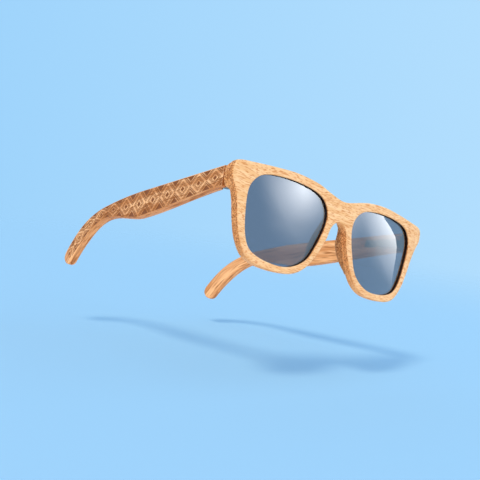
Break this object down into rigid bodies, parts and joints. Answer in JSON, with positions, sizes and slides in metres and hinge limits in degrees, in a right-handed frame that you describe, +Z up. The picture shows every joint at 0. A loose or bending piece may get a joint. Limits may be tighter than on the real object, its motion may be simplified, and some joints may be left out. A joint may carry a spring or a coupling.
{
  "type": "sunglasses",
  "caption": "Wooden sunglasses with a bowed front, smoke lenses, engraved temples that curve behind the ear, and spring hinges that fold.",
  "frame": {"origin": "on the surface that the open sunglasses stand on, midway between the brow and the temple tips", "axes": "+X to the viewer's right looking at the front, -Y out of the front face, +Y back along the temples, +Z up"},
  "size_m": [0.1408, 0.1548, 0.0481],
  "materials": {
    "front_wood": "fine sanded pale wood with short dark flecks, oiled",
    "temple_wood": "sanded wood, the outer face laser engraved",
    "smoke_lens": "polished blue-grey smoke tint",
    "hinge_steel": "satin gunmetal",
    "screw_steel": "bright slotted screws",
    "spring_steel": "drawn wire"
  },
  "bodies": {
    "front": {"front_frame": "front_wood", "lens_left": "smoke_lens", "lens_right": "smoke_lens", "nose_pad_left": "front_wood", "nose_pad_right": "front_wood", "hinge_plate_left": "hinge_steel", "hinge_plate_right": "hinge_steel", "plate_screws_left": "screw_steel", "plate_screws_right": "screw_steel", "pivot_screw_left": "screw_steel", "pivot_screw_right": "screw_steel"},
    "slider_left": {"hinge_slider_left": "hinge_steel", "slider_nut_left": "hinge_steel"},
    "slider_right": {"hinge_slider_right": "hinge_steel", "slider_nut_right": "hinge_steel"},
    "temple_left": {"temple_arm_left": "temple_wood", "spring_housing_left": "hinge_steel", "housing_screws_left": "screw_steel", "hinge_spring_left": "spring_steel"},
    "temple_right": {"temple_arm_right": "temple_wood", "spring_housing_right": "hinge_steel", "housing_screws_right": "screw_steel", "hinge_spring_right": "spring_steel"}
  },
  "joints": [
    {"name": "fold_left", "type": "hinge", "parent": "front", "child": "slider_left", "pos_m": [-0.0652, -0.06386, 0.03755], "axis": [0, 0, -1], "range_deg": [0, 85]},
    {"name": "fold_right", "type": "hinge", "parent": "front", "child": "slider_right", "pos_m": [0.0652, -0.06386, 0.03755], "axis": [0, 0, 1], "range_deg": [0, 72]},
    {"name": "pull_left", "type": "slide", "parent": "slider_left", "child": "temple_left", "axis": [0.1045, 0.9945, 0], "range_m": [0, 0.0015], "stiffness_N_per_m": 1500, "springref_m": -0.002, "deforming": ["hinge_spring_left"]},
    {"name": "pull_right", "type": "slide", "parent": "slider_right", "child": "temple_right", "axis": [-0.1045, 0.9945, 0], "range_m": [0, 0.0015], "stiffness_N_per_m": 1500, "springref_m": -0.002, "deforming": ["hinge_spring_right"]}
  ]
}
